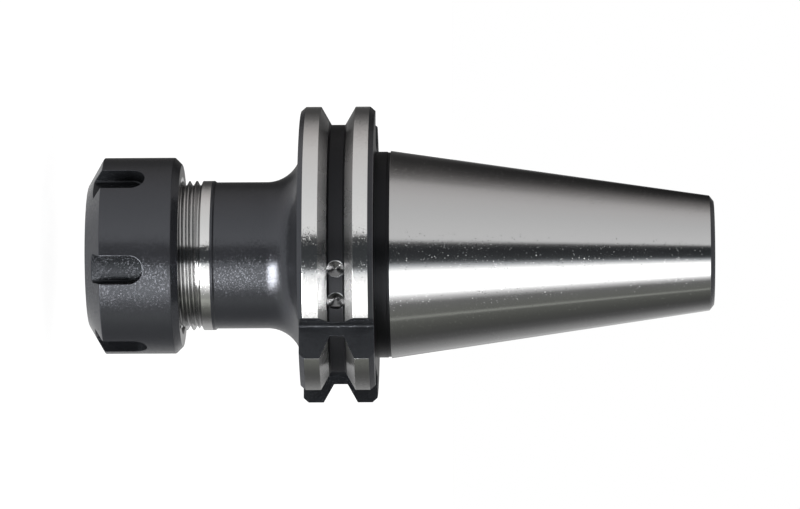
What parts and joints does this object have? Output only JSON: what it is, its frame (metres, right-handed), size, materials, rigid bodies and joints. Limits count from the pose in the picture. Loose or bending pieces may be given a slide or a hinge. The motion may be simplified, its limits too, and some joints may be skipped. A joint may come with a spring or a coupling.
{
  "type": "collet chuck holder",
  "caption": "Steep-taper tool holder: a ground cone shank with a grooved flange, a necked threaded nose, and a slotted clamping nut that closes a spring collet on a tool shank.",
  "frame": {"origin": "centre of the gauge plane, where the shank cone has its 44.45 mm gauge diameter", "axes": "+Z along the tool axis towards the shank's small end, +X through the shallower drive slot"},
  "size_m": [0.0614, 0.0636, 0.1336],
  "materials": {
    "holder_steel": "black oxide with ground bright shank cone, flange lands and nose band",
    "ground_steel": "fine ground, bright",
    "blackened_steel": "black oxide, satin"
  },
  "bodies": {
    "holder": {"holder_body": "holder_steel"},
    "collet": {"collet": "ground_steel"},
    "nut": {"clamping_nut": "blackened_steel"}
  },
  "joints": [
    {"name": "collet_travel", "type": "slide", "parent": "holder", "child": "collet", "axis": [0, 0, -1], "range_m": [0, 0.009]},
    {"name": "nut_turn", "type": "hinge", "parent": "collet", "child": "nut", "pos_m": [0, 0, 0], "axis": [0, 0, -1], "range_deg": [0, 2160]}
  ],
  "couplings": [
    {"joint": "collet_travel", "follows": "nut_turn", "m_per_rad": 0.00023873}
  ]
}
